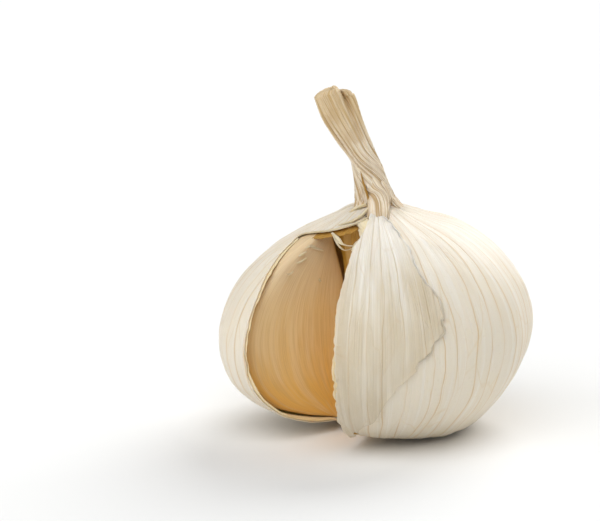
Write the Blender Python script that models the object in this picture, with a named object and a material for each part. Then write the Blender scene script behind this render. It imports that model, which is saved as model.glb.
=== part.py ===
"""A garlic bulb with one clove pulled out of its front left side, standing on its root plate.

Metres, +Z up. The origin is the middle of the root plate's flat foot. Azimuths are in degrees, measured
round +Z from the front (-Y) towards the right (+X). The cloves stand in one ring round the stem, the
papery wrapper goes round them with an opening at the missing clove, and a torn piece of the outermost
skin still lies over the clove to the right of the opening.
"""

import bisect
import math

import bmesh
import bpy
from mathutils import Vector

# Form of the whole bulb: radius and height from the middle of the underside up to the stem, first on the
# right side and then on the left, which is a little lower in the shoulder and higher underneath
BULB_PROFILE = (
    (0.0000, 0.0014, 0.0000, 0.0016),
    (0.0060, 0.0012, 0.0060, 0.0021),
    (0.0120, 0.0005, 0.0120, 0.0026),
    (0.0185, 0.0008, 0.0175, 0.0036),
    (0.0246, 0.0062, 0.0238, 0.0056),
    (0.0287, 0.0122, 0.0286, 0.0098),
    (0.0308, 0.0186, 0.0308, 0.0154),
    (0.0307, 0.0242, 0.0307, 0.0212),
    (0.0283, 0.0303, 0.0280, 0.0278),
    (0.0237, 0.0360, 0.0227, 0.0339),
    (0.0172, 0.0403, 0.0158, 0.0386),
    (0.0102, 0.0426, 0.0090, 0.0421),
    (0.0050, 0.0442, 0.0050, 0.0441),
    (0.0000, 0.0450, 0.0000, 0.0450),
)
PROFILE_STEP = 0.01

# Skins: thickness, and the air between one layer and the next
SKIN = 0.0005
AIR = 0.0004
OUTER_SKIN = 0.0004
OUTER_AIR = 0.0004

# Cloves: the azimuths between one clove and the next, and how deep the furrow there is as a share of the
# radius. The missing clove's place runs from the last azimuth round to the first.
CLOVE_EDGES = (-14.5, 30.0, 76.0, 121.0, 164.0, 209.0, 256.0, 302.0)
FURROWS = (0.026, 0.012, 0.022, 0.030, 0.024, 0.032, 0.026, 0.020)
FURROW_WIDTH = 8.0
CLOVE_SIDE_AIR = 0.00025
CLOVE_BASE_CLIMB = 0.15
CLOVE_TIP_CLIMB = 0.835
CLOVE_RINGS = 8

# A clove's cross-section, as shares: across its width from -1 to 1, and out from the stem from 0 to 1
CLOVE_SECTION = (
    (0.00, 1.00),
    (0.52, 1.00),
    (0.90, 0.95),
    (1.00, 0.70),
    (1.00, 0.35),
    (0.75, 0.03),
    (0.00, 0.00),
    (-0.75, 0.03),
    (-1.00, 0.35),
    (-1.00, 0.70),
    (-0.90, 0.95),
    (-0.52, 1.00),
)
# Against the share of the way from base to tip: the inner edge's distance from the stem's middle, and the
# width as a share of the room between the neighbours
CLOVE_INNER_EDGE = (
    (0.00, 0.0074),
    (0.20, 0.0056),
    (0.45, 0.0054),
    (0.70, 0.0064),
    (0.88, 0.0084),
    (1.00, 0.0100),
)
CLOVE_WIDTH = ((0.0, 0.70), (0.14, 0.98), (0.6, 1.0), (0.86, 0.95), (1.0, 0.62))
CLOVE_BASE_HEIGHT = 0.0032
CLOVE_TIP_DROP = 0.0008

# The wrapper's torn edge left of the opening, azimuth against climb. Near the top it runs back over the
# opening as a small roof.
WRAPPER_EDGE_LEFT = (
    (0.10, 307.0),
    (0.31, 306.5),
    (0.38, 304.5),
    (0.56, 302.5),
    (0.625, 300.5),
    (0.69, 295.0),
    (0.75, 284.5),
    (0.775, 279.5),
    (0.80, 296.0),
    (0.84, 328.0),
    (0.86, 340.0),
    (1.00, 342.0),
)
WRAPPER_EDGE_RIGHT = -14.5
WRAPPER_FOOT_CLIMB = 0.12
WRAPPER_TOP_CLIMB = 0.93
WRAPPER_ROWS = 25
WRAPPER_COLUMNS = 58

# The outer skin's torn right edge, azimuth against climb
OUTER_SKIN_EDGE = (
    (0.27, -9.0),
    (0.36, 0.0),
    (0.46, 9.0),
    (0.53, 17.0),
    (0.57, 24.0),
    (0.63, 25.0),
    (0.69, 19.0),
    (0.88, 10.0),
)
OUTER_SKIN_FOOT_CLIMB = 0.27
OUTER_SKIN_TOP_CLIMB = 0.88
OUTER_SKIN_ROWS = 22
OUTER_SKIN_COLUMNS = 9

# Root plate: radius and height from the foot up, as shares of its own radius and height
ROOT_PLATE_RADIUS = 0.0064
ROOT_PLATE_HEIGHT = 0.0022
ROOT_PLATE_SIDES = 32
ROOT_PLATE_OUTLINE = ((0.94, 0.0), (1.0, 0.25), (0.97, 0.60), (0.70, 0.92), (0.30, 1.0))

# Stem: the middle's height, X and Y, half the width, half the thickness, the width's azimuth, and the
# depth of the cleft that parts its two lobes as a share of the thickness
STEM_STATIONS = (
    (0.0026, 0.0000, 0.0000, 0.0026, 0.0026, 0.0, 0.0),
    (0.0120, 0.0000, 0.0000, 0.0023, 0.0023, 0.0, 0.0),
    (0.0280, 0.0000, 0.0000, 0.0024, 0.0024, 0.0, 0.0),
    (0.0400, 0.0001, 0.0000, 0.0029, 0.0029, 0.0, 0.0),
    (0.0440, 0.0003, 0.0000, 0.0034, 0.0032, 60.0, 0.1),
    (0.0456, 0.0002, 0.0000, 0.0036, 0.0033, 65.0, 0.2),
    (0.0478, -0.0005, 0.0001, 0.0031, 0.0028, 70.0, 0.2),
    (0.0515, -0.0017, 0.0003, 0.0028, 0.0022, 80.0, 0.2),
    (0.0545, -0.0029, 0.0004, 0.0024, 0.0021, 90.0, 0.2),
    (0.0585, -0.0050, 0.0003, 0.0030, 0.0020, 98.0, 0.3),
    (0.0630, -0.0072, 0.0000, 0.0037, 0.0020, 100.0, 0.5),
    (0.0668, -0.0083, -0.0002, 0.0040, 0.0021, 100.0, 0.7),
    (0.0676, -0.0085, -0.0002, 0.0037, 0.0018, 100.0, 0.7),
)
STEM_SIDES = 16
STEM_CLEFT_PLACE = 0.4
STEM_CLEFT_WIDTH = 0.35

# Colours as linear red, green and blue, with the roughness
MATERIALS = {
    "wrapper_skin": ((0.80, 0.73, 0.60), 0.55),
    "outer_skin": ((0.86, 0.82, 0.72), 0.60),
    "clove_skin": ((0.50, 0.32, 0.13), 0.42),
    "stem": ((0.58, 0.45, 0.26), 0.75),
    "root_plate": ((0.42, 0.29, 0.15), 0.90),
}


def mix(a, b, share):
    return a + (b - a) * share


def shares(count):
    """Evenly spaced shares from 0 to 1."""
    return [i / (count - 1) for i in range(count)]


def along(table, value):
    """The second column of a table at a value of its first, with straight runs between the rows."""
    keys = [row[0] for row in table]
    i = min(max(bisect.bisect_right(keys, value), 1), len(table) - 1)
    (x0, y0), (x1, y1) = table[i - 1], table[i]
    return mix(y0, y1, (value - x0) / (x1 - x0))


def furrow(azimuth, climb):
    """How far the bulb's surface sinks between two cloves, as a share of its radius."""
    depth = 0.0
    for edge, strength in zip(CLOVE_EDGES, FURROWS):
        away = (azimuth - edge + 180.0) % 360.0 - 180.0
        depth += strength * math.exp(-((away / FURROW_WIDTH) ** 2))
    return depth * math.sin(math.pi * min(climb / 0.8, 1.0)) ** 0.5


def profile_point(climb, left):
    """Radius and height on a smooth curve through the bulb's profile.

    climb runs from 0 at the middle of the underside to 1 at the stem, and left from 0 on the right side
    to 1 on the left.
    """
    last = len(BULB_PROFILE) - 1
    place = min(max(climb, 0.0), 1.0) * last
    i = min(int(place), last - 1)
    t = place - i
    rows = [BULB_PROFILE[min(max(i + k, 0), last)] for k in (-1, 0, 1, 2)]
    point = []
    for column in (0, 1):
        a, b, c, d = (mix(row[column], row[column + 2], left) for row in rows)
        curve = 2 * b + (c - a) * t + (2 * a - 5 * b + 4 * c - d) * t**2 + (3 * b - a - 3 * c + d) * t**3
        point.append(curve / 2)
    return point


def round_axis(azimuth, radius, height):
    turn = math.radians(azimuth)
    return Vector((radius * math.sin(turn), -radius * math.cos(turn), height))


def bulb(azimuth, climb, inset=0.0):
    """A point of the bulb's outer form, or of one that lies inset below it."""
    left = (1.0 - math.sin(math.radians(azimuth))) / 2.0
    radius, height = profile_point(climb, left)
    low, high = (profile_point(climb + step, left) for step in (-PROFILE_STEP, PROFILE_STEP))
    run, rise = high[0] - low[0], high[1] - low[1]
    reach = math.hypot(run, rise)
    radius -= inset * rise / reach
    height += inset * run / reach
    return round_axis(azimuth, radius * (1.0 - furrow(azimuth, climb)), height)


def material(name):
    colour, roughness = MATERIALS[name]
    made = bpy.data.materials.new(name)
    made.use_nodes = True
    shader = made.node_tree.nodes["Principled BSDF"]
    shader.inputs["Base Color"].default_value = (*colour, 1.0)
    shader.inputs["Roughness"].default_value = roughness
    shader.inputs["Metallic"].default_value = 0.0
    return made


def add_object(name, shape, its_material):
    mesh = bpy.data.meshes.new(name)
    bmesh.ops.recalc_face_normals(shape, faces=shape.faces)
    shape.to_mesh(mesh)
    shape.free()
    mesh.materials.append(its_material)
    mesh.shade_smooth()
    made = bpy.data.objects.new(name, mesh)
    bpy.context.scene.collection.objects.link(made)
    return made


def round_off(made):
    modifier = made.modifiers.new("round_off", "SUBSURF")
    modifier.levels = 1
    modifier.render_levels = 1


def solid(rings):
    """A closed skin over rings of equally many points, with a flat cap at each end."""
    shape = bmesh.new()
    loops = [[shape.verts.new(point) for point in ring] for ring in rings]
    for lower, upper in zip(loops, loops[1:]):
        for i in range(len(lower)):
            shape.faces.new((lower[i - 1], lower[i], upper[i], upper[i - 1]))
    shape.faces.new(loops[0])
    shape.faces.new(loops[-1])
    return shape


def shell(outer, inner):
    """A closed thin shell between two grids of points of the same size."""
    shape = bmesh.new()
    grids = [[[shape.verts.new(point) for point in row] for row in grid] for grid in (outer, inner)]
    last_row, last_column = len(outer) - 1, len(outer[0]) - 1
    for grid in grids:
        for i in range(last_row):
            for j in range(last_column):
                shape.faces.new((grid[i][j], grid[i][j + 1], grid[i + 1][j + 1], grid[i + 1][j]))
    rim = [(0, j) for j in range(last_column)]
    rim += [(i, last_column) for i in range(last_row)]
    rim += [(last_row, j) for j in range(last_column, 0, -1)]
    rim += [(i, 0) for i in range(last_row, 0, -1)]
    over, under = grids
    for k in range(len(rim)):
        (i0, j0), (i1, j1) = rim[k - 1], rim[k]
        shape.faces.new((over[i0][j0], over[i1][j1], under[i1][j1], under[i0][j0]))
    return shape


def skin_grid(climbs, edges, columns, inset):
    """Rows of points over the bulb's form, each row between its own two azimuths."""
    rows = []
    for climb, (first, last) in zip(climbs, edges):
        rows.append([bulb(mix(first, last, share), climb, inset) for share in shares(columns)])
    return rows


def clove_ring(first, last, share):
    """One cross-section of the clove between two azimuths, at a share of the way from base to tip."""
    middle = (first + last) / 2.0
    inset = SKIN + AIR
    climb = mix(CLOVE_BASE_CLIMB, CLOVE_TIP_CLIMB, share)
    tip = bulb(middle, CLOVE_TIP_CLIMB, inset).z - CLOVE_TIP_DROP
    inner_radius = along(CLOVE_INNER_EDGE, share)
    inner_height = mix(CLOVE_BASE_HEIGHT, tip, share)
    half = (last - first) / 2.0 * along(CLOVE_WIDTH, share)
    ring = []
    for across, out in CLOVE_SECTION:
        outer = bulb(middle + across * half, climb, inset)
        radius = mix(inner_radius, math.hypot(outer.x, outer.y), out)
        side = half - math.degrees(math.asin(CLOVE_SIDE_AIR / radius))
        ring.append(round_axis(middle + across * side, radius, mix(inner_height, outer.z, out)))
    return ring


def add_cloves():
    skin = material("clove_skin")
    for number, (first, last) in enumerate(zip(CLOVE_EDGES, CLOVE_EDGES[1:]), start=1):
        rings = [clove_ring(first, last, share) for share in shares(CLOVE_RINGS)]
        round_off(add_object(f"clove_{number}", solid(rings), skin))


def add_wrapper():
    climbs = [mix(WRAPPER_FOOT_CLIMB, WRAPPER_TOP_CLIMB, share) for share in shares(WRAPPER_ROWS)]
    edges = [(WRAPPER_EDGE_RIGHT, along(WRAPPER_EDGE_LEFT, climb)) for climb in climbs]
    outer, inner = (skin_grid(climbs, edges, WRAPPER_COLUMNS, inset) for inset in (0.0, SKIN))
    add_object("wrapper_skin", shell(outer, inner), material("wrapper_skin"))


def add_outer_skin():
    climbs = [mix(OUTER_SKIN_FOOT_CLIMB, OUTER_SKIN_TOP_CLIMB, share) for share in shares(OUTER_SKIN_ROWS)]
    edges = [(WRAPPER_EDGE_RIGHT, along(OUTER_SKIN_EDGE, climb)) for climb in climbs]
    insets = (-OUTER_AIR - OUTER_SKIN, -OUTER_AIR)
    outer, inner = (skin_grid(climbs, edges, OUTER_SKIN_COLUMNS, inset) for inset in insets)
    add_object("outer_skin_remnant", shell(outer, inner), material("outer_skin"))


def add_root_plate():
    turns = [360.0 * i / ROOT_PLATE_SIDES for i in range(ROOT_PLATE_SIDES)]
    rings = []
    for radius_share, height_share in ROOT_PLATE_OUTLINE:
        radius, height = radius_share * ROOT_PLATE_RADIUS, height_share * ROOT_PLATE_HEIGHT
        rings.append([round_axis(turn, radius, height) for turn in turns])
    add_object("root_plate", solid(rings), material("root_plate"))


def stem_ring(height, x, y, half_width, half_thickness, width_azimuth, cleft):
    """One cross-section of the stem: an ellipse, pinched by a cleft in both its broad sides."""
    wide = round_axis(width_azimuth, half_width, 0.0)
    thick = round_axis(width_azimuth + 90.0, half_thickness, 0.0)
    ring = []
    for i in range(STEM_SIDES):
        around = 2.0 * math.pi * i / STEM_SIDES
        pinch = 1.0 - cleft * math.exp(-(((math.cos(around) - STEM_CLEFT_PLACE) / STEM_CLEFT_WIDTH) ** 2))
        ring.append(Vector((x, y, height)) + wide * math.cos(around) + thick * math.sin(around) * pinch)
    return ring


def add_stem():
    rings = [stem_ring(*station) for station in STEM_STATIONS]
    round_off(add_object("stem", solid(rings), material("stem")))


def main():
    for leftover in list(bpy.data.objects):
        bpy.data.objects.remove(leftover)
    add_root_plate()
    add_cloves()
    add_stem()
    add_wrapper()
    add_outer_skin()


main()
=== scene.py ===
"""Looks of the garlic bulb with one clove missing.

Metres, +Z up, in the CAD model's frame. Azimuths are in degrees, measured round +Z from the front (-Y)
towards the right (+X). climb runs over the bulb's form from 0 at the middle of the underside to 1 at the
stem, and is the same measure as in the CAD source, so each detailed piece lies where its solid does.
"""

import math

import bpy
import numpy as np
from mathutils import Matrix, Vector


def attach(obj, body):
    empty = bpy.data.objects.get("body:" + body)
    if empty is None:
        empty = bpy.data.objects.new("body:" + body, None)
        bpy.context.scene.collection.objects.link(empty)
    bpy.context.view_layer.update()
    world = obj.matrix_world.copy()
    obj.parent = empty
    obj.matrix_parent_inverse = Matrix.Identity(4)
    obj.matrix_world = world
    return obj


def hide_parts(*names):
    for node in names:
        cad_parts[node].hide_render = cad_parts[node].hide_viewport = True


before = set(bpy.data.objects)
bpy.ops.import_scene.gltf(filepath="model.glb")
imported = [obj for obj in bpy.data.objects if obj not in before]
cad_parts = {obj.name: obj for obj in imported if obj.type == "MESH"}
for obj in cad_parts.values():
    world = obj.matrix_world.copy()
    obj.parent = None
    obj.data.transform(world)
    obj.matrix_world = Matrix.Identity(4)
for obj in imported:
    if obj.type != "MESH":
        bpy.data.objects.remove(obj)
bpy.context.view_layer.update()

# Camera, floor and light
CAMERA_AIM = Vector((-0.0149, 0.0, 0.0332))
CAMERA_DISTANCE = 0.55
CAMERA_ELEVATION = 12.0
CAMERA_LENS = 168.0
FLOOR_SIZE = 12.0
FLOOR_COLOUR = (0.83, 0.835, 0.83)
# The world lights the object less strongly than it shows behind it
WORLD_LIGHT = 0.22
WORLD_SHOWN = 1.0
# Name, the direction each light comes from, how wide it is seen in degrees, and its strength
LIGHTS = (
    ("overhead_light", (-0.14, -0.55, 0.90), 60.0, 1.58),
    ("back_light", (0.48, 0.84, 0.65), 45.0, 2.30),
    ("left_light", (-1.0, -0.35, 0.40), 70.0, 1.10),
    ("right_light", (1.0, -0.25, 0.40), 70.0, 0.35),
)

# The bulb's form, as in the CAD source: radius and height on the right side, then on the left
BULB_PROFILE = np.array((
    (0.0000, 0.0014, 0.0000, 0.0016),
    (0.0060, 0.0012, 0.0060, 0.0021),
    (0.0120, 0.0005, 0.0120, 0.0026),
    (0.0185, 0.0008, 0.0175, 0.0036),
    (0.0246, 0.0062, 0.0238, 0.0056),
    (0.0287, 0.0122, 0.0286, 0.0098),
    (0.0308, 0.0186, 0.0308, 0.0154),
    (0.0307, 0.0242, 0.0307, 0.0212),
    (0.0283, 0.0303, 0.0280, 0.0278),
    (0.0237, 0.0360, 0.0227, 0.0339),
    (0.0172, 0.0403, 0.0158, 0.0386),
    (0.0102, 0.0426, 0.0090, 0.0421),
    (0.0050, 0.0442, 0.0050, 0.0441),
    (0.0000, 0.0450, 0.0000, 0.0450),
))
PROFILE_STEP = 0.01
CLOVE_EDGES = (-14.5, 30.0, 76.0, 121.0, 164.0, 209.0, 256.0, 302.0)
FURROWS = (0.026, 0.012, 0.022, 0.030, 0.024, 0.032, 0.026, 0.020)
FURROW_WIDTH = 8.0

# A skin's texture coordinates: millimetres round the bulb at its widest to a radian, and millimetres up
# its side to the whole climb
MM_ROUND = 31.0
MM_UP = 96.0

# Wrapper
WRAPPER_COLUMNS = 330
WRAPPER_ROWS = 120
WRAPPER_THICKNESS = 0.00024
WRAPPER_FOOT_CLIMB = 0.12
WRAPPER_TOP_CLIMB = 0.965
# Torn edges, azimuth against climb
WRAPPER_EDGE_LEFT = (
    (0.10, 305.0),
    (0.22, 305.5),
    (0.31, 305.5),
    (0.38, 304.0),
    (0.48, 303.0),
    (0.56, 302.5),
    (0.625, 300.5),
    (0.665, 297.5),
    (0.69, 295.0),
    (0.72, 290.5),
    (0.75, 284.5),
    (0.775, 279.5),
    (0.785, 281.0),
    (0.80, 296.0),
    (0.815, 309.0),
    (0.84, 328.0),
    (0.86, 340.0),
    (0.90, 342.0),
    (1.00, 342.0),
)
WRAPPER_EDGE_RIGHT = (
    (0.10, -15.5),
    (0.40, -14.0),
    (0.60, -14.6),
    (0.75, -13.6),
    (0.85, -10.5),
    (1.00, -8.0),
)


def mix(a, b, share):
    """From a to b by a share of the way."""
    return a + (b - a) * share


def ease(low, high, value):
    """0 below low, 1 above high, and a smooth rise between them."""
    share = np.clip((value - low) / (high - low), 0.0, 1.0)
    return share * share * (3.0 - 2.0 * share)


def bump(centre, width, value):
    """A smooth hump, 1 at its centre."""
    return np.exp(-(((value - centre) / width) ** 2))


def along(table, value):
    """The second column of a table at values of its first."""
    keys, values = zip(*table)
    return np.interp(value, keys, values)


def softened(table, value, reach):
    """A table's value with its corners rounded off over a reach."""
    return np.mean([along(table, value + step) for step in np.linspace(-reach, reach, 9)], axis=0)


def noise(x, y, seed):
    """Smooth noise between -1 and 1 over a plane, with features about one unit wide.

    Each seed gives a pattern of its own, the same on every run.
    """
    table = np.random.default_rng(seed).uniform(-1.0, 1.0, (128, 128))
    x, y = np.broadcast_arrays(x, y)
    column, row = np.floor(x).astype(int), np.floor(y).astype(int)
    across, up = ease(0.0, 1.0, x - column), ease(0.0, 1.0, y - row)
    low = mix(table[column % 128, row % 128], table[(column + 1) % 128, row % 128], across)
    high = mix(table[column % 128, (row + 1) % 128], table[(column + 1) % 128, (row + 1) % 128], across)
    return mix(low, high, up)


def rough(x, y, seed):
    """Three octaves of noise."""
    fine = 0.5 * noise(2.1 * x, 2.1 * y, seed + 1)
    finest = 0.25 * noise(4.3 * x, 4.3 * y, seed + 2)
    return noise(x, y, seed) + fine + finest


# The bulb's form ------------------------------------------


def curve_through(rows, place):
    """Points at places along a smooth curve through the rows, one row to a unit."""
    last = len(rows) - 1
    place = np.clip(place, 0.0, last)
    i = np.minimum(place.astype(int), last - 1)
    t = (place - i)[..., None]
    a, b, c, d = (rows[np.clip(i + k, 0, last)] for k in (-1, 0, 1, 2))
    return (2 * b + (c - a) * t + (2 * a - 5 * b + 4 * c - d) * t**2 + (3 * b - a - 3 * c + d) * t**3) / 2


def profile_point(climb, left):
    """Radius and height of the bulb's outline; left is 0 on the right side and 1 on the left."""
    both = curve_through(BULB_PROFILE, climb * (len(BULB_PROFILE) - 1))
    return mix(both[..., 0], both[..., 2], left), mix(both[..., 1], both[..., 3], left)


def furrow(azimuth, climb):
    """How far the surface sinks between two cloves, as a share of its radius."""
    depth = np.zeros(np.broadcast(azimuth, climb).shape)
    for edge, strength in zip(CLOVE_EDGES, FURROWS):
        away = (azimuth - edge + 180.0) % 360.0 - 180.0
        depth += strength * bump(0.0, FURROW_WIDTH, away)
    return depth * np.sin(np.pi * np.minimum(climb / 0.8, 1.0)) ** 0.5


def round_axis(azimuth, radius, height):
    """Points at azimuths, distances from the stem's axis and heights."""
    turn = np.radians(azimuth)
    return np.stack(np.broadcast_arrays(radius * np.sin(turn), -radius * np.cos(turn), height), axis=-1)


def bulb(azimuth, climb, inset=0.0):
    """Points of the bulb's outer form, or of one that lies inset below it."""
    left = (1.0 - np.sin(np.radians(azimuth))) / 2.0
    radius, height = profile_point(climb, left)
    low_radius, low_height = profile_point(climb - PROFILE_STEP, left)
    high_radius, high_height = profile_point(climb + PROFILE_STEP, left)
    step_out, step_up = high_radius - low_radius, high_height - low_height
    reach = np.hypot(step_out, step_up)
    radius = radius - inset * step_up / reach
    height = height + inset * step_out / reach
    return round_axis(azimuth, radius * (1.0 - furrow(azimuth, climb)), height)


# Meshes ---------------------------------------------------


def make_piece(name, points, faces, uvs, material, stands_for=None):
    """A smooth mesh piece that rides on the root body, with one UV to a point.

    stands_for names the CAD node that the piece replaces.
    """
    mesh = bpy.data.meshes.new(name)
    mesh.from_pydata(points.reshape(-1, 3).tolist(), [], faces)
    layer = mesh.uv_layers.new(name="skin")
    corners = np.empty(len(mesh.loops), dtype=int)
    mesh.loops.foreach_get("vertex_index", corners)
    layer.data.foreach_set("uv", uvs.reshape(-1, 2)[corners].ravel())
    mesh.materials.append(material)
    mesh.shade_smooth()
    mesh.validate()
    piece = bpy.data.objects.new(name, mesh)
    bpy.context.scene.collection.objects.link(piece)
    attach(piece, "root")
    if stands_for:
        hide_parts(stands_for)


def grid_faces(index):
    """The quads between the points of a grid, from the grid of their numbers."""
    corners = (index[:-1, :-1], index[:-1, 1:], index[1:, 1:], index[1:, :-1])
    return np.stack(corners, axis=-1).reshape(-1, 4)


def shell(name, outer, inner, uvs, material, stands_for=None):
    """A closed thin shell between two grids of points."""
    rows, columns = outer.shape[:2]
    count = rows * columns
    index = np.arange(count).reshape(rows, columns)
    rim = np.concatenate((index[0, :-1], index[:-1, -1], index[-1, :0:-1], index[:0:-1, 0]))
    after = np.roll(rim, -1)
    walls = np.stack((after, rim, rim + count, after + count), axis=-1)
    faces = np.concatenate((grid_faces(index), grid_faces(index + count)[:, ::-1], walls))
    points = np.concatenate((outer.reshape(-1, 3), inner.reshape(-1, 3)))
    both_uvs = np.concatenate((uvs.reshape(-1, 2), uvs.reshape(-1, 2)))
    make_piece(name, points, faces.tolist(), both_uvs, material, stands_for)


def tube(name, rings, uvs, material, stands_for=None):
    """A closed body over rings of points, with a face over each end."""
    rows, columns = rings.shape[:2]
    index = np.arange(rows * columns).reshape(rows, columns)
    sides = grid_faces(np.column_stack((index, index[:, 0])))
    faces = sides.tolist() + [index[0, ::-1].tolist(), index[-1].tolist()]
    make_piece(name, rings, faces, uvs, material, stands_for)


def shrunk(ring, share):
    """A ring drawn in towards its own middle."""
    return mix(ring, ring.mean(axis=0), share)


def skin_uvs(azimuth, climb):
    """Texture coordinates that run round and up the skin, in millimetres."""
    return np.stack(np.broadcast_arrays(np.radians(azimuth) * MM_ROUND, climb * MM_UP), axis=-1)


# Materials ------------------------------------------------


# A colour Mix node's own sockets
MIX_FIRST, MIX_SECOND, MIX_RESULT = 6, 7, 2


def node(tree, kind, inputs, **settings):
    """A new shader node; an input is given a value or the socket that feeds it."""
    made = tree.nodes.new("ShaderNode" + kind)
    for name, value in settings.items():
        setattr(made, name, value)
    for key, value in inputs.items():
        if isinstance(value, bpy.types.NodeSocket):
            tree.links.new(value, made.inputs[key])
        else:
            made.inputs[key].default_value = value
    return made


def opaque(colour):
    """Red, green and blue with an alpha of 1; a socket is left as it is."""
    return colour if isinstance(colour, bpy.types.NodeSocket) else (*colour, 1.0)


def calculate(tree, operation, a, b):
    """One step of arithmetic on two values or sockets."""
    return node(tree, "Math", {0: a, 1: b}, operation=operation).outputs[0]


def stretched(tree, vector, scale):
    """The coordinates multiplied by a scale for each axis."""
    return node(tree, "VectorMath", {0: vector, 1: scale}, operation="MULTIPLY").outputs[0]


def shifted(tree, vector, amount, direction):
    """The coordinates moved along a direction by an amount that varies over the surface."""
    push = node(tree, "VectorMath", {0: direction, "Scale": amount}, operation="SCALE").outputs[0]
    return node(tree, "VectorMath", {0: vector, 1: push}, operation="ADD").outputs[0]


def cloud(tree, vector, detail=3.0):
    """Noise between about 0.3 and 0.7 with features one unit wide."""
    return node(tree, "TexNoise", {"Vector": vector, "Scale": 1.0, "Detail": detail}).outputs["Fac"]


def rise(tree, value, low, high, start=0.0, end=1.0):
    """A smooth change from start to end as the value goes from low to high."""
    inputs = {"Value": value, "From Min": low, "From Max": high, "To Min": start, "To Max": end}
    return node(tree, "MapRange", inputs, interpolation_type="SMOOTHSTEP").outputs["Result"]


def blend(tree, share, a, b):
    """Two colours mixed; each is red, green and blue, or a socket."""
    inputs = {"Factor": share, MIX_FIRST: opaque(a), MIX_SECOND: opaque(b)}
    return node(tree, "Mix", inputs, data_type="RGBA").outputs[MIX_RESULT]


def height_of(tree, place):
    """How high a place on the surface is, in metres."""
    return node(tree, "SeparateXYZ", {0: place}).outputs["Z"]


def new_material(name):
    """A material, its tree, its shader, its skin UV and its place in the object's space."""
    material = bpy.data.materials.new(name)
    material.use_nodes = True
    tree = material.node_tree
    uv = node(tree, "UVMap", {}, uv_map="skin").outputs["UV"]
    place = node(tree, "TexCoord", {}).outputs["Object"]
    return material, tree, tree.nodes["Principled BSDF"], uv, place


def finish_material(tree, shader, colour, roughness, height, depth, scatter):
    """Connects the colour, roughness and bump, and sets how far light goes through the surface."""
    tree.links.new(colour, shader.inputs["Base Color"])
    tree.links.new(roughness, shader.inputs["Roughness"])
    relief = node(tree, "Bump", {"Height": height, "Distance": depth, "Strength": 1.0})
    tree.links.new(relief.outputs["Normal"], shader.inputs["Normal"])
    shader.inputs["Subsurface Weight"].default_value = scatter
    shader.inputs["Subsurface Radius"].default_value = (1.0, 0.75, 0.45)
    shader.inputs["Subsurface Scale"].default_value = 0.0012
    shader.inputs["Specular IOR Level"].default_value = 0.35


# Skin colours: where it is palest; a darker colour for its duller patches, streaks and fibres, which is
# also painted shade lower down its side; near the foot; and its veins
PAPER_COLOURS = ((0.89, 0.81, 0.69), (0.83, 0.72, 0.57), (0.76, 0.64, 0.46), (0.72, 0.49, 0.24))
WHITE_COLOURS = ((0.94, 0.89, 0.80), (0.635, 0.535, 0.39), (0.74, 0.65, 0.49), (0.62, 0.46, 0.27))
RIM_COLOURS = ((0.93, 0.80, 0.56), (0.88, 0.70, 0.42), (0.84, 0.64, 0.36), (0.60, 0.38, 0.15))
# Dark amber: painted shade on the layer under the roof and in the stem's slit, and the brown of the speck
# at the foot
AMBER_SHADE_AND_SPECK_COLOURS = ((0.50, 0.28, 0.06), (0.42, 0.22, 0.04), (0.36, 0.18, 0.03), (0.32, 0.16, 0.03))
# The pale colour of a skin's pale streaks, and of the painted light by its neck
SKIN_WHITE = (0.92, 0.86, 0.77)


def vein_pattern(tree, uv, spacing):
    """Thin lengthwise veins about a spacing apart, with a soft halo and a mesh of fainter forks."""
    wander = cloud(tree, stretched(tree, uv, (0.09, 0.035, 1.0)), 3.0)
    lines = shifted(tree, stretched(tree, uv, (1.0 / spacing, 0.0, 0.0)), wander, (1.3, 0.0, 0.0))
    line = node(tree, "SeparateXYZ", {0: lines}).outputs["X"]
    edge = {"feature": "DISTANCE_TO_EDGE"}
    ribs = node(tree, "TexVoronoi", {"W": line, "Scale": 1.0}, voronoi_dimensions="1D", **edge)
    links = shifted(tree, stretched(tree, uv, (0.7 / spacing, 0.045, 1.0)), wander, (1.5, 0.6, 0.0))
    mesh = node(tree, "TexVoronoi", {"Vector": links, "Scale": 1.0}, **edge)
    sharp = rise(tree, ribs.outputs["Distance"], 0.010, 0.060, 1.0, 0.0)
    halo = rise(tree, ribs.outputs["Distance"], 0.0, 0.20, 0.22, 0.0)
    forks = rise(tree, mesh.outputs["Distance"], 0.004, 0.022, 0.30, 0.0)
    veins = calculate(tree, "MAXIMUM", calculate(tree, "MAXIMUM", sharp, halo), forks)
    fade = rise(tree, cloud(tree, stretched(tree, uv, (0.25, 0.035, 1.0))), 0.36, 0.56, 0.35, 1.0)
    return calculate(tree, "MULTIPLY", veins, fade)


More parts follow.
